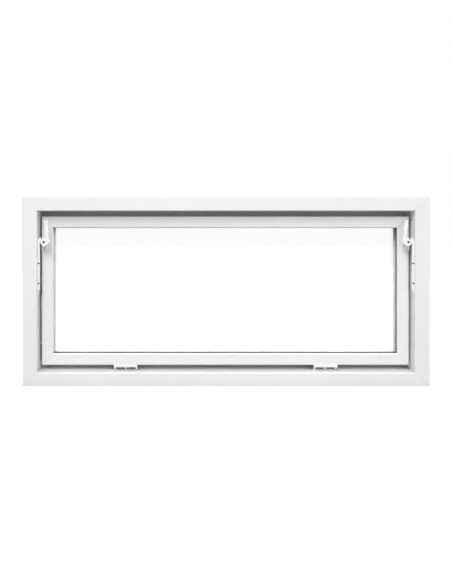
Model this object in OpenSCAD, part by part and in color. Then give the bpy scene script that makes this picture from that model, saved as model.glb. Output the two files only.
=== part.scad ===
// Basement hopper window: fixed outer frame, bottom-hinged tilt-in sash, two lever latches.
// X runs along the window, -Y faces the room, +Y faces outdoors, +Z is up.
// The origin is the bottom centre of the frame, at mid depth.
// "Depth" below always means the distance behind the frame's room face.

/* [Frame] */
// Overall width of the outer frame
frame_w = 806.5; // [560:0.5:1000]
// Overall height of the outer frame
frame_h = 374.7; // [340:0.5:600]
// Depth of the frame, room face to exterior face
frame_d = 63.5; // [62:0.5:90]
// Face width of each jamb
jamb_face = 29; // [24:0.1:40]
// Face width of the head
head_face = 27.7; // [24:0.1:40]
// Face width of the sill
sill_face = 26.4; // [24:0.1:40]
// Wall thickness of the hollow profiles
wall = 2.4; // [2:0.1:3]
// Depth at which the rear stop leg starts
stop_depth = 54.5; // [54:0.1:58]
// Overlap of the stop leg behind the sash edge
stop_overlap = 7; // [5:0.1:10]
// Chamfer on the frame's inner front edge
frame_ease = 1.4; // [0.5:0.1:2]
// Chamfer on the frame's outer front edge
outer_ease = 0.8; // [0.3:0.1:1.5]
// Depth of the accessory groove's front edge
groove_depth = 17; // [16:0.1:18]
// Width of the accessory groove
groove_w = 2.5; // [1.5:0.1:3]
// How far the accessory groove sinks into the wall
groove_sink = 1.2; // [0.8:0.1:1.4]
// Depth of the drain channel in the sill
drain_depth = 31; // [30:0.1:34]
// Width of the drain channel
drain_w = 6; // [3:0.1:10]

/* [Sash] */
// Gap between each stile and its jamb
side_gap = 4.4; // [4.4:0.1:5]
// Gap between the top rail and the head
top_gap = 11; // [8:0.1:14]
// Gap between the bottom rail and the sill
bottom_gap = 10.6; // [10.6:0.1:12]
// Depth of the sash's room face
sash_depth = 20; // [20:0.1:21]
// Thickness of the sash
sash_t = 32; // [31:0.1:33]
// Face width of every sash member
sash_face = 22.8; // [20:0.1:30]
// Thickness of the leg in front of the glass
leg_t = 5.5; // [5:0.1:7.5]
// Width of the hollow tube of each sash member
tube_w = 10.5; // [10:0.1:13]
// Chamfer on the sash's outer front edge
sash_ease = 1.2; // [0.5:0.1:2]
// Chamfer on the sash's inner front edge
sight_ease = 1.8; // [0.5:0.1:2.5]

/* [Glazing] */
// Thickness of each pane
pane_t = 3; // [2.5:0.1:4]
// Thickness of the spacer bar between the panes
spacer_t = 8; // [6:0.1:9]
// Thickness of the dark glazing gasket
gasket_t = 5.5; // [3:0.1:6]
// How far the gasket sits back from the sight edge
gasket_back = 0.2; // [0:0.1:1]
// Clearance between glass edge and tube
glass_edge_gap = 2.5; // [2:0.1:4]
// Width of the spacer bar
spacer_w = 5.5; // [4:0.1:7]
// How far the spacer bar is set in from the glass edge
spacer_edge = 0.3; // [0.2:0.1:1]
// Length of each setting block
block_l = 60; // [30:1:100]
// Height left at the top of each glazing bead
bead_nose = 3; // [2:0.1:5]

/* [Hinges] */
// Distance of each hinge from the window's centre line
hinge_x = 200.6; // [120:0.1:260]
// Length of each hinge
hinge_l = 47; // [40:0.5:60]
// Depth of the hinge axis
hinge_depth = 16.5; // [16.5:0.1:16.6]
// Height of the hinge axis above the sill surface
hinge_rise = 9.6; // [9.4:0.1:9.7]
// Outer radius of the sash leaf's barrels
barrel_r = 2.9; // [2.4:0.1:3]
// Outer radius of the frame leaf's lugs
lug_r = 3.2; // [2.8:0.1:3.3]
// Thickness of each lug along the hinge
lug_t = 4; // [3:0.1:6]
// How far each lug's leg slants back from the axis
lug_run = 6; // [5:0.1:7]
// Diameter of the hinge pin
hinge_pin_d = 2.8; // [2:0.1:3]
// Thickness of both hinge leaves
leaf_t = 1.5; // [1:0.1:1.6]
// How far both leaves reach behind the sash's room face
leaf_reach = 16; // [14:0.5:20]
// Widest tilt of the sash into the room, degrees
tilt_max = 40; // [20:1:40]

/* [Latches] */
// Height of the latch pivot above the sash's lower edge
latch_z = 248; // [200:0.5:270]
// Distance of the latch pivot from the sash's outer edge
latch_in = 8; // [7.5:0.1:8]
// Length of the lever from the pivot to the tip
lever_l = 44; // [40:0.5:46]
// Width of the lever near its tip
lever_w = 7.2; // [6:0.1:9]
// Thickness of the lever's arm
lever_t = 4.5; // [3:0.1:4.5]
// Depth of the lever's room side
lever_depth = 2.4; // [1:0.1:2.5]
// Radius of the lever's boss
boss_r = 6; // [5:0.1:7]
// Diameter of the latch pivot pin
latch_pin_d = 5; // [4:0.1:6]
// How far the pivot pin is sunk in the lever's boss
latch_pin_sunk = 4; // [0.5:0.1:6]
// Reach of the tongue from the pivot
tongue_l = 11; // [10:0.1:11]
// Thickness of the tongue
tongue_t = 3; // [2:0.1:3.5]
// Thickness of the latch base
base_t = 3; // [2.5:0.1:3]
// Width of the latch base
base_w = 13; // [12.5:0.1:16]
// Height of the latch base
base_h = 26; // [24:0.5:34]

/* [Keepers] */
// Reach of the keeper out from the jamb
keeper_reach = 4; // [3.8:0.1:4]
// Thickness of the keeper's front flange
flange_t = 2.2; // [1.5:0.1:2.2]
// Thickness of the keeper's web against the jamb
web_t = 1.8; // [1.2:0.1:1.8]
// Depth of the keeper's room side
keeper_depth = 5; // [4:0.1:5]
// Depth of the web's rear edge
web_depth = 14; // [13:0.1:16]
// Length of the keeper's front flange
flange_l = 100.6; // [80:0.1:104]
// How far the flange runs above the latch pivot
flange_rise = 6; // [5:0.1:7]
// Distance from the latch pivot down to the web's top
web_low = 10; // [9:0.1:12]
// How far the web runs below the flange
web_drop = 7.4; // [4:0.1:7.4]
// Depth of the scallops in the web's rear edge
web_wave = 1.5; // [0.5:0.1:2]
// Distance between the keeper's two screws
keeper_pitch = 39.6; // [30:0.1:50]
// Distance of the lower keeper screw above the flange's lower end
keeper_screw_z = 12.6; // [8:0.1:20]
// Slant of the keeper screws towards the jamb, degrees
keeper_slant = 35; // [25:1:40]
// How far the keeper screws' heads are sunk below the flange
keeper_screw_sunk = 1.3; // [0.3:0.1:1.5]

/* [Stays] */
// Distance of the stay's pivot above the hinge axis
stay_rise = 45; // [44:0.5:46]
// Length of the stay between its pivots
stay_l = 90; // [89:0.5:92]
// Distance of the stay's pivots behind the hinge axis
stay_back = 12; // [11.5:0.1:12.5]
// Thickness of the stay arm
stay_t = 1.5; // [1:0.1:1.5]
// Width of the stay arm
stay_w = 10; // [8:0.1:12]
// Diameter of the stay's pivot and sliding pin
stay_pin_d = 5; // [4:0.1:5]
// Width of the slot that the sliding pin runs in
slot_w = 7.8; // [7.8:0.1:8.2]
// Thickness of the track plate on the stile
track_t = 1; // [0.8:0.1:1]
// Steel left on each side of the slot in the track plate
track_rim = 2; // [1.5:0.1:3]
// How far the track plate runs past its screws
track_end = 3; // [2:0.1:3]
// Clearance between the track plate and the arm
arm_gap = 0.45; // [0.3:0.05:0.5]
// Thickness of the sliding pin's head
pin_head_t = 0.8; // [0.5:0.1:0.9]

/* [Fixings] */
// Shank diameter of the small screws
screw_d = 2; // [1.6:0.1:2.4]
// Head diameter of the small screws
screw_head_d = 3.4; // [3:0.1:3.6]
// Length of the small screws
screw_l = 11; // [8:0.5:12]
// Diameter of the installation holes in the jambs
install_d = 5.5; // [4:0.1:7]
// Distance between the two installation holes in each jamb
install_pitch = 180; // [120:1:190]
// Depth of the installation holes
install_depth = 42; // [41:0.5:44]
// Width of each weep cover
weep_w = 34; // [20:0.5:50]
// Height of each weep cover
weep_h = 9; // [6:0.5:12]
// Thickness of each weep cover
weep_t = 1.2; // [0.8:0.1:1.4]
// Distance of each weep cover from the centre line
weep_x = 250; // [150:1:260]

/* [Hidden] */
$fn = 48;

// Colours
vinyl = "white";
hardware = "ghostwhite";
steel = "silver";
rubber = "dimgray";

// Clearances
running = 0.05;
gap = 0.3;
cut = 1;

// Places worked out from the sizes above
half_w = frame_w / 2;
room_y = -frame_d / 2;
reveal_x = half_w - jamb_face;
head_z = frame_h - head_face;
sash_x = reveal_x - side_gap;
sash_z0 = sill_face + bottom_gap;
sash_z1 = head_z - top_gap;
sash_h = sash_z1 - sash_z0;
sash_w = 2 * sash_x;
glass_depth = sash_depth + leg_t + gasket_t;
unit_t = 2 * pane_t + spacer_t;
bead_depth = glass_depth + unit_t;
sash_back = sash_depth + sash_t;
hinge_z = sill_face + hinge_rise;
stay_z = hinge_z + stay_rise;
stay_depth = hinge_depth + stay_back;
arm_x = sash_x + track_t + arm_gap;
latch_x = sash_x - latch_in;
pivot_z = sash_z0 + latch_z;
flange_top = pivot_z + flange_rise;
flange_z0 = flange_top - flange_l;
web_top = pivot_z - web_low;
tongue_depth = keeper_depth + flange_t + gap;
screw_head_h = (screw_head_d - screw_d) / 2;
pin_shoulder = 0.5;
pilot_d = screw_d + 2 * running;
install_z = frame_h / 2;

// Draws its children, and their mirror image on the other side of the window
module both_sides() {
    children();
    mirror([1, 0, 0]) children();
}

// Draws its children on the right as they are, or mirrored to the left
module on_side(side) {
    if (side == "right") children();
    if (side == "left") mirror([1, 0, 0]) children();
}

// A box given by its two corners in X, depth and Z
module block(x, d, z) {
    translate([x[0], room_y + d[0], z[0]])
        cube([x[1] - x[0], d[1] - d[0], z[1] - z[0]]);
}

// Turns an XZ outline into a plate between two depths
module plate(d) {
    translate([0, room_y + d[1], 0])
        rotate([90, 0, 0])
            linear_extrude(height = d[1] - d[0]) children();
}

// A cylinder along Y between two depths
module rod_y(x, z, dia, d) {
    translate([x, room_y + d[0], z])
        rotate([-90, 0, 0])
            cylinder(d = dia, h = d[1] - d[0]);
}

// A cylinder along X between two values of X
module rod_x(x, d, z, dia) {
    translate([x[0], room_y + d, z])
        rotate([0, 90, 0])
            cylinder(d = dia, h = x[1] - x[0]);
}

// A screw: countersunk head at the origin, shank down -Z
module screw(l) {
    translate([0, 0, -l]) cylinder(d = screw_d, h = l - screw_head_h);
    translate([0, 0, -screw_head_h])
        cylinder(d1 = screw_d, d2 = screw_head_d, h = screw_head_h);
}

// The hole that a screw sits in, open above the head as far as asked
module screw_hole(l, open = cut) {
    translate([0, 0, -l - gap]) cylinder(d = pilot_d, h = l + gap);
    translate([0, 0, -screw_head_h])
        cylinder(d1 = pilot_d, d2 = screw_head_d + 2 * running, h = screw_head_h);
    cylinder(d = screw_head_d + 2 * running, h = open);
}

// Extrusion section of a frame member: across is measured inward from the outer edge
module frame_section(face, rise) {
    difference() {
        polygon([
            [0, outer_ease], [outer_ease, 0], [face - frame_ease, 0], [face, frame_ease],
            [face, stop_depth], [face + rise, stop_depth], [face + rise, frame_d], [0, frame_d]
        ]);
        translate([wall, wall])
            square([face - 2 * wall, sash_depth - wall]);
        translate([wall, sash_depth + wall])
            square([face - 2 * wall, stop_depth - sash_depth - 2 * wall]);
        translate([wall, stop_depth + wall])
            square([face + rise - 2 * wall, frame_d - stop_depth - 2 * wall]);
    }
}

// Extrusion section of a sash member, with the leg that covers the glass edge
module sash_section() {
    difference() {
        polygon([
            [0, sash_ease], [sash_ease, 0], [sash_face - sight_ease, 0],
            [sash_face, sight_ease], [sash_face, leg_t], [tube_w, leg_t],
            [tube_w, sash_t], [0, sash_t]
        ]);
        translate([wall, wall])
            square([tube_w - 2 * wall, sash_t - 2 * wall]);
        translate([tube_w, wall])
            square([sash_face - tube_w - wall - sight_ease, leg_t - 2 * wall]);
    }
}

// Section of a glazing bead, in the same measures as the sash section
module bead_section() {
    bead_t = sash_back - bead_depth;
    translate([0, bead_depth - sash_depth])
        polygon([
            [tube_w, 0], [sash_face, 0], [sash_face, bead_nose],
            [sash_face - bead_t + bead_nose, bead_t], [tube_w, bead_t]
        ]);
}

// Lays a section along the bottom edge of an opening: across goes up, depth goes back
module lay_sill(l, z, d) {
    translate([-l / 2, room_y + d, z])
        rotate([90, 0, 90])
            linear_extrude(height = l) mirror([1, -1, 0]) children();
}

// Lays a section along the top edge: across goes down, depth goes back
module lay_head(l, z, d) {
    translate([0, 0, z]) mirror([0, 0, 1]) lay_sill(l, 0, d) children();
}

// Stands a section against the right edge: across goes inward, depth goes back
module lay_jamb(h, x, z, d) {
    translate([x, room_y + d, z])
        mirror([1, 0, 0])
            linear_extrude(height = h) children();
}

// Mitred wedge of a rectangle that keeps only its lower edge member
module lower_wedge(w, h, side_f, low_f, reach) {
    plate([-cut, frame_d + cut])
        polygon([
            [-w / 2, 0], [w / 2, 0],
            [w / 2 - reach * side_f / low_f, reach],
            [-w / 2 + reach * side_f / low_f, reach]
        ]);
}

// Mitred wedge of a rectangle that keeps only its right edge member
module right_wedge(w, h, side_f, low_f, high_f, reach) {
    plate([-cut, frame_d + cut])
        polygon([
            [w / 2, 0], [w / 2, h],
            [w / 2 - reach, h - reach * high_f / side_f],
            [w / 2 - reach, reach * low_f / side_f]
        ]);
}

jamb_rise = side_gap + stop_overlap;
head_rise = top_gap + stop_overlap;
sill_rise = bottom_gap + stop_overlap;
mitre_spare = 20;
mitre_reach = jamb_face + jamb_rise + mitre_spare;

// Wedge for the head or the sill: mitred, then square where its stop leg passes the jamb's
module frame_wedge(face) {
    inner_x = reveal_x - jamb_rise;
    lower_wedge(frame_w, frame_h, jamb_face, face, mitre_reach);
    block([-inner_x, inner_x], [-cut, frame_d + cut], [0, mitre_reach]);
}

module frame_head() {
    color(vinyl)
        intersection() {
            difference() {
                lay_head(frame_w, frame_h, 0) frame_section(head_face, head_rise);
                block([-half_w, half_w], [groove_depth, groove_depth + groove_w],
                    [head_z - cut, head_z + groove_sink]);
            }
            translate([0, 0, frame_h]) mirror([0, 0, 1]) frame_wedge(head_face);
        }
}

module frame_sill() {
    color(vinyl)
        difference() {
            intersection() {
                lay_sill(frame_w, 0, 0) frame_section(sill_face, sill_rise);
                frame_wedge(sill_face);
            }
            block([-reveal_x + wall, reveal_x - wall], [drain_depth, drain_depth + drain_w],
                [sill_face - groove_sink, sill_face + cut]);
            both_sides() weep_recess();
            both_sides() hinge_screw_places(hinge_z_leaf()) screw_hole(screw_l);
        }
}

// Pocket in the sill's exterior face for a weep cover, and the slot behind it
module weep_recess() {
    weep_z = sill_face / 2;
    block([weep_x - weep_w / 2 - gap, weep_x + weep_w / 2 + gap],
        [frame_d - weep_t, frame_d + cut],
        [weep_z - weep_h / 2 - gap, weep_z + weep_h / 2 + gap]);
    block([weep_x - weep_w / 4, weep_x + weep_w / 4],
        [frame_d - wall - cut, frame_d],
        [weep_z - weep_h / 4, weep_z + weep_h / 4]);
}

// One jamb, drawn on the right
module jamb() {
    color(vinyl)
        difference() {
            intersection() {
                lay_jamb(frame_h, half_w, 0, 0) frame_section(jamb_face, jamb_rise);
                right_wedge(frame_w, frame_h, jamb_face, sill_face, head_face, mitre_reach);
            }
            block([reveal_x - cut, reveal_x + groove_sink],
                [groove_depth, groove_depth + groove_w],
                [sill_face + wall, head_z - wall]);
            for (s = [-1, 1])
                rod_x([reveal_x - cut, half_w + cut], install_depth,
                    install_z + s * install_pitch / 2, install_d);
            keeper_screw_places() screw_hole(screw_l, 4 * cut);
            rod_x([reveal_x - cut, reveal_x + wall + cut], stay_depth, stay_z,
                stay_pin_d + 2 * running);
        }
}

module frame_jamb_left() {
    on_side("left") jamb();
}

module frame_jamb_right() {
    on_side("right") jamb();
}

// Seal ring on the front of the stop leg, just inside the sash edge
module frame_seal() {
    seal_edge = 1;
    seal_w = stop_overlap - 2 * seal_edge;
    seal_t = stop_depth - sash_back - gap;
    inset = stop_overlap - seal_edge;
    color(rubber)
        difference() {
            block([-sash_x + inset - seal_w, sash_x - inset + seal_w],
                [stop_depth - seal_t, stop_depth],
                [sash_z0 + inset - seal_w, sash_z1 - inset + seal_w]);
            block([-sash_x + inset, sash_x - inset],
                [stop_depth - seal_t - cut, stop_depth + cut],
                [sash_z0 + inset, sash_z1 - inset]);
        }
}

// Places of the two slanted screws of the right keeper
module keeper_screw_places() {
    for (i = [0, 1])
        translate([reveal_x - keeper_reach / 2 - gap / 2, room_y + keeper_depth,
            flange_z0 + keeper_screw_z + i * keeper_pitch])
            rotate([0, 0, -keeper_slant])
                rotate([90, 0, 0])
                    translate([0, 0, -keeper_screw_sunk]) children();
}

// One moulded keeper, drawn on the right: a front flange with a web against the jamb
module keeper() {
    flange_x = reveal_x - keeper_reach;
    web_z0 = flange_z0 - web_drop;
    web_h = web_top - web_z0;
    steps = 16;
    color(hardware)
        difference() {
            union() {
                block([flange_x, reveal_x], [keeper_depth, keeper_depth + flange_t],
                    [flange_z0, flange_top]);
                translate([reveal_x - web_t, 0, 0])
                    rotate([90, 0, 90])
                        linear_extrude(height = web_t)
                            polygon(concat(
                                [[room_y + keeper_depth, web_z0], [room_y + keeper_depth, web_top]],
                                [for (i = [0 : steps])
                                    [room_y + web_depth - web_wave + web_wave * cos(720 * i / steps),
                                        web_top - web_h * i / steps]]
                            ));
            }
            keeper_screw_places() screw_hole(screw_l, 4 * cut);
        }
}

module keeper_left() {
    on_side("left") keeper();
}

module keeper_right() {
    on_side("right") keeper();
}

module keeper_screws() {
    color(steel) both_sides() keeper_screw_places() screw(screw_l);
}

// Height of the frame leaf's upper face
function hinge_z_leaf() = sill_face + leaf_t;

// Places of the two screws of the right hinge, on a leaf face at height z
module hinge_screw_places(z) {
    for (s = [-1, 1])
        translate([hinge_x + s * hinge_l / 3, room_y + sash_depth + leaf_reach / 2, z])
            children();
}

// One frame leaf, drawn on the right: a plate on the sill with three lugs
module frame_leaf() {
    color(hardware)
        difference() {
            union() {
                block([hinge_x - hinge_l / 2, hinge_x + hinge_l / 2],
                    [hinge_depth + lug_run, sash_depth + leaf_reach],
                    [sill_face, sill_face + leaf_t]);
                for (s = [-1, 0, 1])
                    lug(hinge_x + s * (hinge_l - lug_t) / 2);
            }
            rod_x([hinge_x - hinge_l, hinge_x + hinge_l], hinge_depth, hinge_z,
                hinge_pin_d + 2 * running);
            hinge_screw_places(hinge_z_leaf()) screw_hole(screw_l);
        }
}

// One lug of the frame leaf: a round eye on a leg that slants back down to the leaf
module lug(x) {
    rod_x([x - lug_t / 2, x + lug_t / 2], hinge_depth, hinge_z, 2 * lug_r);
    translate([x - lug_t / 2, room_y + hinge_depth, 0])
        rotate([90, 0, 90])
            linear_extrude(height = lug_t)
                polygon([
                    [lug_r * cos(30), hinge_z - lug_r * sin(30)],
                    [lug_r + lug_run, sill_face + leaf_t], [lug_r + lug_run, sill_face],
                    [lug_run, sill_face], [-lug_r * sin(30), hinge_z - lug_r * cos(30)]
                ]);
}

module hinge_left_frame_leaf() {
    on_side("left") frame_leaf();
}

module hinge_right_frame_leaf() {
    on_side("right") frame_leaf();
}

module hinge_pins() {
    color(steel)
        both_sides()
            rod_x([hinge_x - hinge_l / 2, hinge_x + hinge_l / 2], hinge_depth, hinge_z,
                hinge_pin_d);
}

module hinge_frame_screws() {
    color(steel) both_sides() hinge_screw_places(hinge_z_leaf()) screw(screw_l);
}

// Shouldered rivet that carries each stay arm on its jamb
module stay_pivots() {
    head_d = stay_w - 2 * pin_shoulder;
    color(steel)
        both_sides()
            union() {
                rod_x([arm_x + stay_t + running, reveal_x], stay_depth, stay_z, head_d);
                rod_x([arm_x - track_t, reveal_x + wall + pin_shoulder], stay_depth, stay_z,
                    stay_pin_d);
                rod_x([arm_x - track_t, arm_x - running], stay_depth, stay_z, head_d);
            }
}

module weep_covers() {
    weep_z = sill_face / 2;
    color(vinyl)
        both_sides()
            block([weep_x - weep_w / 2, weep_x + weep_w / 2], [frame_d - weep_t, frame_d],
                [weep_z - weep_h / 2, weep_z + weep_h / 2]);
}

// Cuts one mitred member out of the sash rectangle
module sash_wedge(edge) {
    reach = sash_face + cut;
    translate([0, 0, sash_z0]) {
        if (edge == "bottom") lower_wedge(sash_w, sash_h, 1, 1, reach);
        if (edge == "top")
            translate([0, 0, sash_h]) mirror([0, 0, 1])
                lower_wedge(sash_w, sash_h, 1, 1, reach);
        if (edge == "right") right_wedge(sash_w, sash_h, 1, 1, 1, reach);
    }
}

module sash_top_rail() {
    color(vinyl)
        intersection() {
            lay_head(sash_w, sash_z1, sash_depth) sash_section();
            sash_wedge("top");
        }
}

module sash_bottom_rail() {
    color(vinyl)
        difference() {
            intersection() {
                lay_sill(sash_w, sash_z0, sash_depth) sash_section();
                sash_wedge("bottom");
            }
            both_sides() sash_leaf_screw_places() screw_hole(screw_l);
        }
}

// One stile, drawn on the right, with the stay slot in its outer wall
module stile() {
    color(vinyl)
        difference() {
            intersection() {
                lay_jamb(sash_h, sash_x, sash_z0, sash_depth) sash_section();
                sash_wedge("right");
            }
            stay_slot([sash_x - wall - cut, sash_x + cut], slot_w);
            latch_screw_places() screw_hole(screw_l);
            track_screw_places() screw_hole(screw_l / 2);
        }
}

module sash_stile_left() {
    on_side("left") stile();
}

module sash_stile_right() {
    on_side("right") stile();
}

// Height of the sliding pin with the sash shut
function slide_top() = stay_z + stay_l;

// Height of the sliding pin, measured on the sash, with the sash fully tilted
function slide_low() =
    let (lean = asin((stay_rise * sin(tilt_max) - stay_back * (1 - cos(tilt_max))) / stay_l))
    hinge_z + stay_rise * cos(tilt_max) - stay_back * sin(tilt_max) + stay_l * cos(lean);

// Straight round-ended slot along the sliding pin's travel
module stay_slot(x, w) {
    top = slide_top() + stay_pin_d / 4;
    low = slide_low() - stay_pin_d / 4;
    rod_x(x, stay_depth, top, w);
    rod_x(x, stay_depth, low, w);
    block(x, [stay_depth - w / 2, stay_depth + w / 2], [low, top]);
}

module glass_pane(d) {
    edge = tube_w + glass_edge_gap;
    color("lightblue", 0.4)
        block([-sash_x + edge, sash_x - edge], [d, d + pane_t], [sash_z0 + edge, sash_z1 - edge]);
}

module glass_inner_pane() {
    glass_pane(glass_depth);
}

module glass_outer_pane() {
    glass_pane(glass_depth + pane_t + spacer_t);
}

// Rectangular ring given by its inner edge distance, its width and two depths
module ring(inner, w, d) {
    difference() {
        block([-sash_x + inner - w, sash_x - inner + w], d,
            [sash_z0 + inner - w, sash_z1 - inner + w]);
        block([-sash_x + inner, sash_x - inner], [d[0] - cut, d[1] + cut],
            [sash_z0 + inner, sash_z1 - inner]);
    }
}

module glass_spacer() {
    color(rubber)
        ring(tube_w + glass_edge_gap + spacer_edge + spacer_w, spacer_w,
            [glass_depth + pane_t, glass_depth + pane_t + spacer_t]);
}

module glazing_gasket() {
    inner = sash_face - gasket_back;
    color(rubber)
        ring(inner, inner - tube_w - glass_edge_gap, [glass_depth - gasket_t, glass_depth]);
}

module setting_blocks() {
    color(rubber)
        both_sides()
            block([sash_x / 2 - block_l / 2, sash_x / 2 + block_l / 2],
                [glass_depth, glass_depth + unit_t],
                [sash_z0 + tube_w, sash_z0 + tube_w + glass_edge_gap]);
}

module glazing_bead_top() {
    color(vinyl)
        intersection() {
            lay_head(sash_w, sash_z1, sash_depth) bead_section();
            sash_wedge("top");
        }
}

module glazing_bead_bottom() {
    color(vinyl)
        intersection() {
            lay_sill(sash_w, sash_z0, sash_depth) bead_section();
            sash_wedge("bottom");
        }
}

// One upright glazing bead, drawn on the right
module side_bead() {
    color(vinyl)
        intersection() {
            lay_jamb(sash_h, sash_x, sash_z0, sash_depth) bead_section();
            sash_wedge("right");
        }
}

module glazing_bead_left() {
    on_side("left") side_bead();
}

module glazing_bead_right() {
    on_side("right") side_bead();
}

// Places of the right hinge's screws up into the bottom rail
module sash_leaf_screw_places() {
    hinge_screw_places(sash_z0 - leaf_t) mirror([0, 0, 1]) children();
}

// One sash leaf, drawn on the right: a plate under the rail with two barrels in front
module sash_leaf() {
    barrel_l = (hinge_l - 3 * lug_t) / 2 - 2 * gap;
    barrel_x = (barrel_l + lug_t) / 2 + gap;
    color(hardware)
        difference() {
            union() {
                block([hinge_x - hinge_l / 2, hinge_x + hinge_l / 2],
                    [sash_depth, sash_depth + leaf_reach], [sash_z0 - leaf_t, sash_z0]);
                for (s = [-1, 1]) {
                    rod_x([hinge_x + s * barrel_x - barrel_l / 2,
                        hinge_x + s * barrel_x + barrel_l / 2], hinge_depth, hinge_z,
                        2 * barrel_r);
                    block([hinge_x + s * barrel_x - barrel_l / 2,
                        hinge_x + s * barrel_x + barrel_l / 2],
                        [hinge_depth, sash_depth + cut], [sash_z0 - leaf_t, sash_z0]);
                }
            }
            rod_x([hinge_x - hinge_l, hinge_x + hinge_l], hinge_depth, hinge_z,
                hinge_pin_d + 2 * running);
            sash_leaf_screw_places() screw_hole(screw_l);
        }
}

module hinge_left_sash_leaf() {
    on_side("left") sash_leaf();
}

module hinge_right_sash_leaf() {
    on_side("right") sash_leaf();
}

module hinge_sash_screws() {
    color(steel) both_sides() sash_leaf_screw_places() screw(screw_l);
}

base_drop = 5;
base_z0 = pivot_z - base_h / 2 - base_drop;
base_x0 = sash_x - base_w;

// Places of the right latch base's two screws, on the base's room face
module latch_screw_places() {
    edge = screw_head_d / 2 + 1;
    low = [sash_x - base_w / 2, base_z0 + screw_head_d];
    high = [base_x0 + edge, base_z0 + base_h - edge];
    for (p = [low, high])
        translate([p[0], room_y + sash_depth - base_t, p[1]])
            rotate([90, 0, 0]) children();
}

// One latch base plate, drawn on the right
module latch_base() {
    color(hardware)
        difference() {
            block([base_x0, sash_x], [sash_depth - base_t, sash_depth],
                [base_z0, base_z0 + base_h]);
            rod_y(latch_x, pivot_z, latch_pin_d + 2 * running,
                [sash_depth - base_t - cut, sash_depth + cut]);
            latch_screw_places() screw_hole(screw_l);
        }
}

module latch_left_base() {
    on_side("left") latch_base();
}

module latch_right_base() {
    on_side("right") latch_base();
}

module latch_base_screws() {
    color(steel) both_sides() latch_screw_places() screw(screw_l);
}

// Pivot pins, a little below the boss face
module latch_pins() {
    color(steel)
        both_sides()
            rod_y(latch_x, pivot_z, latch_pin_d, [lever_depth + latch_pin_sunk, sash_depth]);
}

// One lever, drawn on the right and locked: arm up, cam tongue out behind the keeper
module lever() {
    tip_in = 4.2;
    tip_ease = 1.2;
    root_in = 7.4;
    root_w = lever_w - 1.2;
    root_z = 10;
    shoulder = [12, 2];
    heel = [1, latch_in + side_gap - keeper_reach - gap];
    hook = [8.6, 9.4];
    hook_w = 1.8;
    boss_back = sash_depth - base_t - gap;
    color(hardware)
        translate([latch_x, 0, pivot_z])
            difference() {
                union() {
                    plate([lever_depth, lever_depth + lever_t])
                        polygon([
                            [-tip_in + lever_w / 2, lever_l - tip_ease],
                            [-tip_in + lever_w / 2 - tip_ease, lever_l],
                            [-tip_in - lever_w / 2 + tip_ease, lever_l],
                            [-tip_in - lever_w / 2, lever_l - tip_ease],
                            [-root_in - root_w / 2, root_z],
                            [-shoulder[0], shoulder[1]],
                            [-shoulder[0] + tip_ease / 2, shoulder[1] - 2 * tip_ease],
                            [-heel[0] - 2, -heel[1]],
                            [heel[0], -heel[1]],
                            [boss_r, -boss_r / 2],
                            [boss_r, boss_r / 2],
                            [-root_in + root_w / 2, root_z]
                        ]);
                    rod_y(0, 0, 2 * boss_r, [lever_depth, boss_back]);
                    plate([tongue_depth, tongue_depth + tongue_t])
                        polygon([
                            [0, -boss_r + tip_ease / 2], [boss_r, -boss_r / 2],
                            [tongue_l, tip_ease / 2], [tongue_l, boss_r * 2 / 3],
                            [hook[0] + hook_w / 2, hook[1]], [hook[0] - hook_w / 2, hook[1]],
                            [hook[0] - hook_w, boss_r - tip_ease], [0, boss_r - tip_ease]
                        ]);
                }
                rod_y(0, 0, latch_pin_d + 2 * running, [lever_depth - cut, sash_depth]);
            }
}

module latch_left_lever() {
    on_side("left") lever();
}

module latch_right_lever() {
    on_side("right") lever();
}

// Places of the right track plate's two screws, on its outer face
module track_screw_places() {
    ends = [slide_low() - slot_w, slide_top() + slot_w];
    for (z = ends)
        translate([sash_x + track_t, room_y + stay_depth, z])
            rotate([0, 90, 0]) children();
}

// Steel plates round the stile slots that the sliding pins run in
module stay_tracks() {
    track_w = slot_w + 2 * track_rim;
    color(steel)
        both_sides()
            difference() {
                block([sash_x, sash_x + track_t],
                    [stay_depth - track_w / 2, stay_depth + track_w / 2],
                    [slide_low() - slot_w - track_end, slide_top() + slot_w + track_end]);
                stay_slot([sash_x - cut, sash_x + track_t + cut], slot_w);
                track_screw_places() screw_hole(screw_l / 2);
            }
}

module stay_track_screws() {
    color(steel) both_sides() track_screw_places() screw(screw_l / 2);
}

// One stay arm, drawn on the right: a flat strip with a hole at each end
module stay_arm() {
    x = [arm_x, arm_x + stay_t];
    color(steel)
        difference() {
            union() {
                rod_x(x, stay_depth, stay_z, stay_w);
                rod_x(x, stay_depth, stay_z + stay_l, stay_w);
                block(x, [stay_depth - stay_w / 2, stay_depth + stay_w / 2],
                    [stay_z, stay_z + stay_l]);
            }
            for (z = [stay_z, stay_z + stay_l])
                rod_x([arm_x - cut, arm_x + stay_t + cut], stay_depth, z,
                    stay_pin_d + 2 * running);
        }
}

// One sliding pin, drawn on the right: riveted in the arm, running in the stile's slot
module stay_pin() {
    z = stay_z + stay_l;
    head_d = stay_w - 4 * pin_shoulder;
    color(steel)
        union() {
            rod_x([sash_x - wall - pin_shoulder, arm_x + stay_t], stay_depth, z, stay_pin_d);
            rod_x([arm_x + stay_t, arm_x + stay_t + pin_head_t], stay_depth, z, head_d);
        }
}

module stay_left_arm() {
    on_side("left") stay_arm();
}

module stay_left_pin() {
    on_side("left") stay_pin();
}

module stay_right_arm() {
    on_side("right") stay_arm();
}

module stay_right_pin() {
    on_side("right") stay_pin();
}

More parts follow.
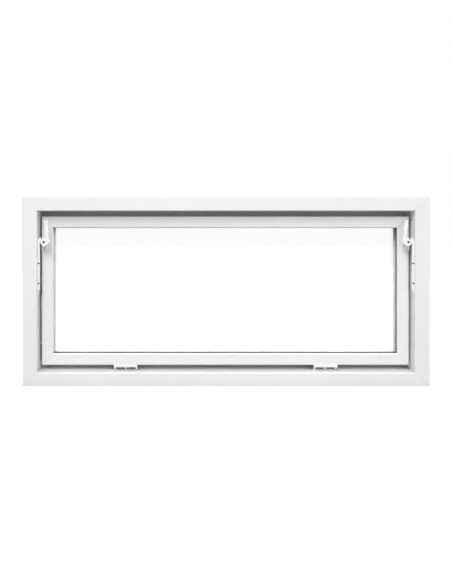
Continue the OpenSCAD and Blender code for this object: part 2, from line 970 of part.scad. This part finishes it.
frame_head();
frame_sill();
frame_jamb_left();
frame_jamb_right();
frame_seal();
keeper_left();
keeper_right();
keeper_screws();
hinge_left_frame_leaf();
hinge_right_frame_leaf();
hinge_pins();
hinge_frame_screws();
stay_pivots();
weep_covers();
sash_top_rail();
sash_bottom_rail();
sash_stile_left();
sash_stile_right();
glass_inner_pane();
glass_outer_pane();
glass_spacer();
setting_blocks();
glazing_gasket();
glazing_bead_top();
glazing_bead_bottom();
glazing_bead_left();
glazing_bead_right();
hinge_left_sash_leaf();
hinge_right_sash_leaf();
hinge_sash_screws();
latch_left_base();
latch_right_base();
latch_base_screws();
latch_pins();
stay_tracks();
stay_track_screws();
latch_left_lever();
latch_right_lever();
stay_left_arm();
stay_left_pin();
stay_right_arm();
stay_right_pin();
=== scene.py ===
"""Basement hopper window: mitred vinyl frame, tilt-in sash, lever latches, keepers, hinges and stays."""
import math

import bmesh
import bpy
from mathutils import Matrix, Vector


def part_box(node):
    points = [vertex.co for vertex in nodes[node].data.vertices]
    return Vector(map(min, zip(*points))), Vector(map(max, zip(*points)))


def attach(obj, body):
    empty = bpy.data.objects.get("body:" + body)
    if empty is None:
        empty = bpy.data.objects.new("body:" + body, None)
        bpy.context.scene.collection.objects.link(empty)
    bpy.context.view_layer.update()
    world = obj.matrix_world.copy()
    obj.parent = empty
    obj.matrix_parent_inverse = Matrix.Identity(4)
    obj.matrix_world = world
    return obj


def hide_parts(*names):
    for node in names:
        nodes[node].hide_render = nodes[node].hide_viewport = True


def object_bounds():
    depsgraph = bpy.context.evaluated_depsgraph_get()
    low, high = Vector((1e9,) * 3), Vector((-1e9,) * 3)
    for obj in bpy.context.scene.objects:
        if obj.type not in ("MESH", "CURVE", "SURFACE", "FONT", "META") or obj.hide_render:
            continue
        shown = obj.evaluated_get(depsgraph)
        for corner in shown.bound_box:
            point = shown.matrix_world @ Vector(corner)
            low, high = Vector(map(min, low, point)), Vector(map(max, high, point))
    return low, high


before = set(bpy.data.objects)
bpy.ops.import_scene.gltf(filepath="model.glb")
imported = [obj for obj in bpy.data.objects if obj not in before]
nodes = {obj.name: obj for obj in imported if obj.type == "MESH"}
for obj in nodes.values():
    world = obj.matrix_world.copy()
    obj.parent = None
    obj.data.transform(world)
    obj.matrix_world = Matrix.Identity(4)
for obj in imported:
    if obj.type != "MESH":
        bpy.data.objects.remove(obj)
cad_low, cad_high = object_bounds()
MM = 0.001

# Strength of the world as a light, power of the three soft boxes in watts, and the floor's own glow
WORLD_LIGHT = 0.42
KEY_POWER = 62.0
FILL_POWER = 16.5
BACK_POWER = 34.0
FLOOR_GLOW = 0.80

# Grey painted on the mitre seams: partly the weld line and partly painted shade of the mitre groove,
# painted darker on the sash, whose seams catch more shadow than the frame's
FRAME_SEAM_SHADE = 0.62
SASH_SEAM_SHADE = 0.40


# ---------------------------------------------------------------- camera, stage and light

def make_camera():
    """The camera stands in the room, a little above and left of the window's centre, square to it.

    distance is to the frame's room face and eye_height is above the window's lower edge, in metres.
    """
    distance = 1.100
    left_of_centre = 0.0914
    eye_height = 0.329
    data = bpy.data.cameras.new("camera")
    data.sensor_width = 36.0
    data.lens = 34.28
    data.shift_x = 0.0788
    data.shift_y = -0.1233
    camera = bpy.data.objects.new("camera", data)
    camera.location = (-left_of_centre, cad_low.y - distance, eye_height)
    camera.rotation_euler = (math.radians(90), 0, 0)
    bpy.context.scene.collection.objects.link(camera)
    bpy.context.scene.camera = camera


def make_area_light(name, place, aim, size, power):
    """One square soft box at place that faces the point aim and shows in no reflection."""
    data = bpy.data.lights.new(name, "AREA")
    data.shape = "SQUARE"
    data.size = size
    data.energy = power
    light = bpy.data.objects.new(name, data)
    light.location = place
    light.rotation_euler = (Vector(aim) - Vector(place)).to_track_quat("-Z", "Y").to_euler()
    light.visible_glossy = False
    bpy.context.scene.collection.objects.link(light)


def seen_directly(tree):
    """A value that is 1 where the camera looks, straight or through the glass, and 0 for lighting."""
    rays = tree.nodes.new("ShaderNodeLightPath")
    either = tree.nodes.new("ShaderNodeMath")
    either.operation = "MAXIMUM"
    tree.links.new(rays.outputs["Is Camera Ray"], either.inputs[0])
    tree.links.new(rays.outputs["Is Transmission Ray"], either.inputs[1])
    return either.outputs["Value"]


def make_world():
    """A soft white world: plain white where it is seen, and dimmer as a light."""
    world = bpy.data.worlds.new("studio")
    world.use_nodes = True
    tree = world.node_tree
    lit = tree.nodes["Background"]
    lit.inputs["Color"].default_value = (1, 1, 1, 1)
    lit.inputs["Strength"].default_value = WORLD_LIGHT
    seen = tree.nodes.new("ShaderNodeBackground")
    seen.inputs["Color"].default_value = (1, 1, 1, 1)
    mix = tree.nodes.new("ShaderNodeMixShader")
    tree.links.new(seen_directly(tree), mix.inputs["Fac"])
    tree.links.new(lit.outputs["Background"], mix.inputs[1])
    tree.links.new(seen.outputs["Background"], mix.inputs[2])
    tree.links.new(mix.outputs["Shader"], tree.nodes["World Output"].inputs["Surface"])
    bpy.context.scene.world = world


def make_floor():
    """A pale floor just under the window, with a glow of its own only where it is seen."""
    half = 6.0
    drop = 0.2 * MM
    grey = 0.5
    mesh = bpy.data.meshes.new("floor")
    mesh.from_pydata([(-half, -half, 0), (half, -half, 0), (half, half, 0), (-half, half, 0)],
                     [], [(0, 1, 2, 3)])
    floor = bpy.data.objects.new("floor", mesh)
    floor.location.z = cad_low.z - drop
    bpy.context.scene.collection.objects.link(floor)
    paint = new_material("stage_floor")
    tree = paint.node_tree
    shader = tree.nodes["Principled BSDF"]
    shader.inputs["Base Color"].default_value = (grey, grey, grey, 1)
    shader.inputs["Roughness"].default_value = 0.9
    glow = tree.nodes.new("ShaderNodeEmission")
    glow.inputs["Strength"].default_value = FLOOR_GLOW
    both = tree.nodes.new("ShaderNodeAddShader")
    mix = tree.nodes.new("ShaderNodeMixShader")
    tree.links.new(shader.outputs["BSDF"], both.inputs[0])
    tree.links.new(glow.outputs["Emission"], both.inputs[1])
    tree.links.new(seen_directly(tree), mix.inputs["Fac"])
    tree.links.new(shader.outputs["BSDF"], mix.inputs[1])
    tree.links.new(both.outputs["Shader"], mix.inputs[2])
    tree.links.new(mix.outputs["Shader"], tree.nodes["Material Output"].inputs["Surface"])
    mesh.materials.append(paint)


def make_stage():
    """World, floor and three soft boxes: a steep key from the upper left, a fill from the right
    and one behind the window."""
    bpy.context.scene.view_settings.view_transform = "Standard"
    make_world()
    make_floor()
    centre = (0, 0, cad_high.z / 2)
    make_area_light("key_light", place=(-0.7, -1.7, 2.6), aim=centre, size=1.4, power=KEY_POWER)
    make_area_light("fill_light", place=(0.9, -2.1, 1.3), aim=centre, size=1.2, power=FILL_POWER)
    make_area_light("back_light", place=(0.6, 2.2, 1.7), aim=centre, size=1.4, power=BACK_POWER)


# ---------------------------------------------------------------- materials

def new_material(name):
    """A node material with only Blender's main shader and the output in it."""
    material = bpy.data.materials.new(name)
    material.use_nodes = True
    return material


class Nodes:
    """Short ways to add and join shader nodes in one material."""

    def __init__(self, material):
        self.tree = material.node_tree
        self.shader = self.tree.nodes["Principled BSDF"]

    def add(self, kind, **values):
        """A new node with these settings."""
        node = self.tree.nodes.new(kind)
        for key, value in values.items():
            setattr(node, key, value)
        return node

    def join(self, source, target):
        self.tree.links.new(source, target)

    def place(self, stretch):
        """Object coordinates in metres, squeezed along each axis by stretch."""
        where = self.add("ShaderNodeTexCoord")
        mapping = self.add("ShaderNodeMapping")
        mapping.inputs["Scale"].default_value = stretch
        self.join(where.outputs["Object"], mapping.inputs["Vector"])
        return mapping.outputs["Vector"]

    def noise(self, scale, detail=3.0, stretch=(1, 1, 1), rough=0.5):
        """Cloudy noise from 0 to 1, with about scale features to the metre before the stretch."""
        node = self.add("ShaderNodeTexNoise")
        node.inputs["Scale"].default_value = scale
        node.inputs["Detail"].default_value = detail
        node.inputs["Roughness"].default_value = rough
        self.join(self.place(stretch), node.inputs["Vector"])
        return node.outputs["Fac"]

    def ramp(self, value, low, high):
        """Blends from colour low to colour high with value."""
        node = self.add("ShaderNodeValToRGB")
        node.color_ramp.elements[0].position = 0.3
        node.color_ramp.elements[1].position = 0.7
        node.color_ramp.elements[0].color = (*low, 1)
        node.color_ramp.elements[1].color = (*high, 1)
        self.join(value, node.inputs["Fac"])
        return node.outputs["Color"]

    def maths(self, operation, first, second=0.0):
        """One math node; its inputs are sockets or plain numbers."""
        node = self.add("ShaderNodeMath", operation=operation)
        for socket, value in zip(node.inputs, (first, second)):
            if isinstance(value, bpy.types.NodeSocket):
                self.join(value, socket)
            else:
                socket.default_value = value
        return node.outputs["Value"]

    def blend(self, value, low, high):
        """Blends from the plain colour low to the colour socket high with value."""
        node = self.add("ShaderNodeMix", data_type="RGBA")
        self.join(value, node.inputs["Factor"])
        colours = [socket for socket in node.inputs if socket.type == "RGBA"]
        colours[0].default_value = (*low, 1)
        self.join(high, colours[1])
        return [socket for socket in node.outputs if socket.type == "RGBA"][0]

    def spread(self, value, low, high):
        """Maps a 0 to 1 value to the range low to high."""
        node = self.add("ShaderNodeMapRange")
        node.inputs["To Min"].default_value = low
        node.inputs["To Max"].default_value = high
        self.join(value, node.inputs["Value"])
        return node.outputs["Result"]

    def bump(self, value, height, strength=1.0, before=None):
        """A normal raised by value times height, on top of the normal before."""
        node = self.add("ShaderNodeBump")
        node.inputs["Strength"].default_value = strength
        node.inputs["Distance"].default_value = height
        self.join(value, node.inputs["Height"])
        if before is not None:
            self.join(before, node.inputs["Normal"])
        return node.outputs["Normal"]

    def set(self, **values):
        """Sets or joins sockets of the shader: underscores stand for spaces."""
        for key, value in values.items():
            socket = self.shader.inputs[key.replace("_", " ")]
            if isinstance(value, bpy.types.NodeSocket):
                self.join(value, socket)
            else:
                socket.default_value = value


def mitre_seam(n, low, high, faces):
    """1 away from the welded mitres of a rectangle and 0 on them.

    low and high are the corners of the rectangle, which is centred on X = 0; faces are the widths
    of its side, top and bottom members.
    """
    seam_w = 0.5 * MM
    side_face, top_face, bottom_face = faces
    where = n.add("ShaderNodeTexCoord")
    parts = n.add("ShaderNodeSeparateXYZ")
    n.join(where.outputs["Object"], parts.inputs["Vector"])
    side = n.maths("SUBTRACT", high.x, n.maths("ABSOLUTE", parts.outputs["X"]))
    bottom = n.maths("SUBTRACT", parts.outputs["Z"], low.z)
    top = n.maths("SUBTRACT", high.z, parts.outputs["Z"])
    up = n.maths("MINIMUM", n.maths("DIVIDE", bottom, bottom_face),
                 n.maths("DIVIDE", top, top_face))
    off = n.maths("ABSOLUTE", n.maths("SUBTRACT", n.maths("DIVIDE", side, side_face), up))
    return n.maths("MINIMUM", n.maths("MULTIPLY", off, side_face / seam_w), 1.0)


def vinyl_material(name, along, low, high, faces, seam_shade_tone):
    """White extruded PVC: faint draw lines along the member, fine orange peel, light handling haze
    and, on each mitre, a line of the given grey seam tone that is partly the weld seam and partly
    painted shade of the mitre groove.

    along is the axis of the member, and low, high and faces are those of mitre_seam.
    """
    line_stretch = 0.012
    material = new_material(name)
    n = Nodes(material)
    seam = mitre_seam(n, low, high, faces)
    draw = tuple(line_stretch if axis == along else 1.0 for axis in "XYZ")
    lines = n.noise(scale=700, detail=2.0, stretch=draw)
    peel = n.noise(scale=420, detail=2.0)
    haze = n.noise(scale=9, detail=4.0, rough=0.6)
    fine = n.bump(peel, height=0.05 * MM, strength=0.35)
    drawn = n.bump(lines, height=0.03 * MM, strength=0.5, before=fine)
    clean = n.ramp(haze, (0.785, 0.786, 0.782), (0.812, 0.812, 0.810))
    # The grey mitre line in the base colour is partly painted shade of the mitre groove
    n.set(Base_Color=n.blend(seam, (seam_shade_tone, seam_shade_tone, seam_shade_tone), clean),
          Roughness=n.spread(haze, 0.30, 0.42),
          Normal=n.bump(seam, height=0.15 * MM, strength=0.6, before=drawn),
          IOR=1.53,
          Specular_IOR_Level=0.5)
    return material


def nylon_material():
    """White moulded nylon: smoother and whiter than the extrusions, with a fine moulded grain."""
    material = new_material("white_nylon")
    n = Nodes(material)
    cloud = n.noise(scale=60)
    grain = n.noise(scale=1600, detail=2.0)
    n.set(Base_Color=n.ramp(cloud, (0.84, 0.84, 0.836), (0.87, 0.87, 0.867)),
          Roughness=n.spread(cloud, 0.22, 0.34),
          Normal=n.bump(grain, height=0.02 * MM, strength=0.4),
          IOR=1.53)
    return material


def steel_material():
    """Bright zinc-plated steel with a slight crystalline mottle."""
    material = new_material("zinc_steel")
    n = Nodes(material)
    mottle = n.noise(scale=500, detail=4.0)
    grain = n.noise(scale=2400, detail=2.0)
    n.set(Base_Color=n.ramp(mottle, (0.55, 0.55, 0.54), (0.68, 0.68, 0.67)),
          Metallic=1.0,
          Roughness=n.spread(mottle, 0.25, 0.45),
          Normal=n.bump(grain, height=0.01 * MM, strength=0.4))
    return material


def rubber_material(name, low, high):
    """Matt extruded rubber with fine pits and a dusty bloom."""
    material = new_material(name)
    n = Nodes(material)
    bloom = n.noise(scale=130, detail=4.0, rough=0.65)
    pits = n.noise(scale=2200)
    n.set(Base_Color=n.ramp(bloom, low, high),
          Roughness=n.spread(bloom, 0.55, 0.8),
          Normal=n.bump(pits, height=0.04 * MM, strength=0.5))
    return material


def glass_material():
    """Clear float glass that lets light straight through, with very slight waviness and a wiped haze."""
    material = new_material("float_glass")
    n = Nodes(material)
    wave = n.noise(scale=6, detail=1.0)
    wipe = n.noise(scale=22, detail=5.0, stretch=(1, 1, 0.35), rough=0.6)
    n.set(Base_Color=(0.985, 0.995, 0.992, 1),
          Roughness=n.spread(wipe, 0.0, 0.02),
          Transmission_Weight=1.0,
          IOR=1.45,
          Normal=n.bump(wave, height=0.05 * MM, strength=0.15))
    clear = n.add("ShaderNodeBsdfTransparent")
    clear.inputs["Color"].default_value = (0.985, 0.99, 0.989, 1)
    rays = n.add("ShaderNodeLightPath")
    mix = n.add("ShaderNodeMixShader")
    n.join(rays.outputs["Is Shadow Ray"], mix.inputs["Fac"])
    n.join(n.shader.outputs["BSDF"], mix.inputs[1])
    n.join(clear.outputs["BSDF"], mix.inputs[2])
    n.join(mix.outputs["Shader"], n.tree.nodes["Material Output"].inputs["Surface"])
    return material


def dark_steel_and_hole_shade_material():
    """Near-black steel for the sunk screws and pins; the near black is partly painted shade, standing in
    for the shade deep in their holes.
    """
    material = new_material("steel_with_painted_hole_shade")
    n = Nodes(material)
    mottle = n.noise(scale=700, detail=4.0)
    grain = n.noise(scale=2400, detail=2.0)
    n.set(Base_Color=n.ramp(mottle, (0.035, 0.035, 0.037), (0.07, 0.07, 0.072)),
          Metallic=0.6,
          Roughness=n.spread(mottle, 0.4, 0.6),
          Normal=n.bump(grain, height=0.01 * MM, strength=0.4))
    return material


def aluminium_material():
    """Mill-finish aluminium spacer bar with fine draw lines."""
    material = new_material("mill_aluminium")
    n = Nodes(material)
    mottle = n.noise(scale=300, detail=4.0)
    lines = n.noise(scale=900, detail=2.0, stretch=(0.02, 1, 0.02))
    n.set(Base_Color=n.ramp(mottle, (0.70, 0.70, 0.70), (0.78, 0.78, 0.78)),
          Metallic=0.7,
          Roughness=n.spread(mottle, 0.4, 0.55),
          Normal=n.bump(lines, height=0.02 * MM, strength=0.4))
    return material


def give(names, material):
    """Puts one material on these CAD nodes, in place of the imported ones."""
    for name in names:
        mesh = nodes[name].data
        mesh.materials.clear()
        mesh.materials.append(material)


def outline(*names):
    """Lowest and highest corner of several CAD nodes together."""
    boxes = [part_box(name) for name in names]
    low = Vector([min(box[0][axis] for box in boxes) for axis in range(3)])
    high = Vector([max(box[1][axis] for box in boxes) for axis in range(3)])
    return low, high


def paint_nodes():
    """Gives every CAD node its material, but for the two that a rubber strip replaces."""
    frame_faces = (29.0 * MM, 27.7 * MM, 26.4 * MM)
    sash_face = 22.8 * MM
    sash_faces = (sash_face, sash_face, sash_face)
    frame_box = outline("frame_head", "frame_sill")
    sash_box = outline("sash_top_rail", "sash_bottom_rail")
    nylon = nylon_material()
    steel = steel_material()
    block = rubber_material("setting_block", (0.10, 0.10, 0.105), (0.15, 0.15, 0.155))
    give(["frame_head", "frame_sill", "weep_covers"],
         vinyl_material("frame_across", "X", *frame_box, frame_faces, FRAME_SEAM_SHADE))
    give(["frame_jamb_left", "frame_jamb_right"],
         vinyl_material("frame_upright", "Z", *frame_box, frame_faces, FRAME_SEAM_SHADE))
    give(["sash_top_rail", "sash_bottom_rail", "glazing_bead_top", "glazing_bead_bottom"],
         vinyl_material("sash_across", "X", *sash_box, sash_faces, SASH_SEAM_SHADE))
    give(["sash_stile_left", "sash_stile_right", "glazing_bead_left", "glazing_bead_right"],
         vinyl_material("sash_upright", "Z", *sash_box, sash_faces, SASH_SEAM_SHADE))
    give(["keeper_left", "keeper_right", "hinge_left_frame_leaf", "hinge_right_frame_leaf",
          "hinge_left_sash_leaf", "hinge_right_sash_leaf", "latch_left_base",
          "latch_right_base", "latch_left_lever", "latch_right_lever"], nylon)
    give(["hinge_pins", "hinge_frame_screws", "stay_pivots", "hinge_sash_screws",
          "latch_base_screws", "stay_tracks", "stay_track_screws", "stay_left_arm",
          "stay_left_pin", "stay_right_arm", "stay_right_pin"], steel)
    # The keeper screws and latch pins are near black partly as painted shade of the deep holes they sit
    # in
    give(["keeper_screws", "latch_pins"], dark_steel_and_hole_shade_material())
    give(["setting_blocks"], block)
    give(["glass_spacer"], aluminium_material())
    give(["glass_inner_pane", "glass_outer_pane"], glass_material())


# ---------------------------------------------------------------- rubber strips

def ring_piece(name, rows, material, node, body):
    """A mitred rubber strip round an upright rectangle, in place of a CAD node.

    Each row is one line of the strip's closed section: left, bottom, right, top and depth.
    """
    mesh = bmesh.new()
    rings = []
    for x0, z0, x1, z1, y in rows:
        corners = ((x0, y, z0), (x1, y, z0), (x1, y, z1), (x0, y, z1))
        rings.append([mesh.verts.new(corner) for corner in corners])
    for ring, after in zip(rings, rings[1:] + rings[:1]):
        for i in range(4):
            j = (i + 1) % 4
            mesh.faces.new((ring[i], ring[j], after[j], after[i]))
    bmesh.ops.recalc_face_normals(mesh, faces=mesh.faces)
    data = bpy.data.meshes.new(name)
    mesh.to_mesh(data)
    mesh.free()
    data.materials.append(material)
    piece = bpy.data.objects.new(name, data)
    bpy.context.scene.collection.objects.link(piece)
    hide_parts(node)
    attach(piece, body)


def make_gasket():
    """Black gasket between leg and pane, with two grooves along its inner face.

    shows says how far each side's inner face stands past the beads' sight line, and is negative
    where it is set back. Each point of profile has its distance back from the inner face and its
    share of the depth, from the room side.
    """
    groove = 0.5 * MM
    shows = {"left": -1.5 * MM, "bottom": 1.2 * MM, "right": 0.1 * MM, "top": 0.5 * MM}
    profile = [(0, 0.0), (0, 0.22), (groove, 0.30), (groove, 0.45), (0, 0.52), (0, 0.78),
               (groove, 0.86), (groove, 0.94), (0, 1.0)]
    low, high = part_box("glazing_gasket")
    sight_low = Vector([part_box("glazing_bead_left")[1].x, 0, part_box("glazing_bead_bottom")[1].z])
    sight_high = Vector([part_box("glazing_bead_right")[0].x, 0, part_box("glazing_bead_top")[0].z])
    rows = []
    for back, share in profile:
        rows.append((sight_low.x + shows["left"] - back, sight_low.z + shows["bottom"] - back,
                     sight_high.x - shows["right"] + back, sight_high.z - shows["top"] + back,
                     low.y + share * (high.y - low.y)))
    for y in (high.y, low.y):
        rows.append((low.x, low.z, high.x, high.z, y))
    black = rubber_material("dark_gasket", (0.030, 0.030, 0.032), (0.055, 0.055, 0.057))
    ring_piece("glazing_gasket_strip", rows, black, "glazing_gasket", "sash")


def make_seal():
    """Grey bulb seal on the stop leg: a thin foot with a half-oval bulb on it, towards the room."""
    low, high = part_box("frame_seal")
    seal_w = 5.0 * MM
    foot_t = 0.6 * MM
    bulb_w = 3.8 * MM
    steps = 12
    foot_y = high.y - foot_t
    section = [(0, high.y), (0, foot_y)]
    for i in range(steps + 1):
        turn = math.pi * i / steps
        section.append(((seal_w - bulb_w * math.cos(turn)) / 2,
                        foot_y - (foot_y - low.y) * math.sin(turn)))
    section += [(seal_w, foot_y), (seal_w, high.y)]
    rows = [(low.x + inset, low.z + inset, high.x - inset, high.z - inset, y)
            for inset, y in section]
    grey = rubber_material("grey_seal", (0.17, 0.17, 0.175), (0.23, 0.23, 0.235))
    ring_piece("frame_bulb_seal", rows, grey, "frame_seal", "frame")


# ---------------------------------------------------------------- soft edges

def soften(names, width, segments=2):
    """Rounds the sharp edges of CAD nodes with modifiers, so the meshes themselves stay as packed.

    Only corners within weld_distance are joined, and only edges that turn more than sharp_turn
    are rounded.
    """
    weld_distance = 0.002 * MM
    sharp_turn = math.radians(28)
    large_face_weight = 80
    for name in names:
        piece = nodes[name]
        weld = piece.modifiers.new("weld", "WELD")
        weld.merge_threshold = weld_distance
        bevel = piece.modifiers.new("soft_edges", "BEVEL")
        bevel.width = width
        bevel.segments = segments
        bevel.limit_method = "ANGLE"
        bevel.angle_limit = sharp_turn
        bevel.use_clamp_overlap = True
        for face in piece.data.polygons:
            face.use_smooth = True
        normals = piece.modifiers.new("face_normals", "WEIGHTED_NORMAL")
        normals.keep_sharp = False
        normals.weight = large_face_weight


def soften_all():
    """Edge radii by kind of piece; the glass, spacer, setting blocks and screws stay as packed."""
    soften(["frame_head", "frame_sill", "frame_jamb_left", "frame_jamb_right"], 0.45 * MM)
    soften(["sash_top_rail", "sash_bottom_rail", "sash_stile_left", "sash_stile_right"],
           0.4 * MM)
    soften(["glazing_bead_top", "glazing_bead_bottom", "glazing_bead_left",
            "glazing_bead_right", "weep_covers"], 0.3 * MM)
    soften(["latch_left_lever", "latch_right_lever"], 0.7 * MM, 3)
    soften(["latch_left_base", "latch_right_base", "keeper_left", "keeper_right"], 0.35 * MM)
    soften(["hinge_left_frame_leaf", "hinge_right_frame_leaf", "hinge_left_sash_leaf",
            "hinge_right_sash_leaf"], 0.25 * MM)
    soften(["stay_left_arm", "stay_right_arm", "stay_tracks", "stay_pivots", "stay_left_pin",
            "stay_right_pin", "hinge_pins", "latch_pins"], 0.2 * MM)


# ---------------------------------------------------------------- the scene

make_camera()
make_stage()
paint_nodes()
make_gasket()
make_seal()
soften_all()
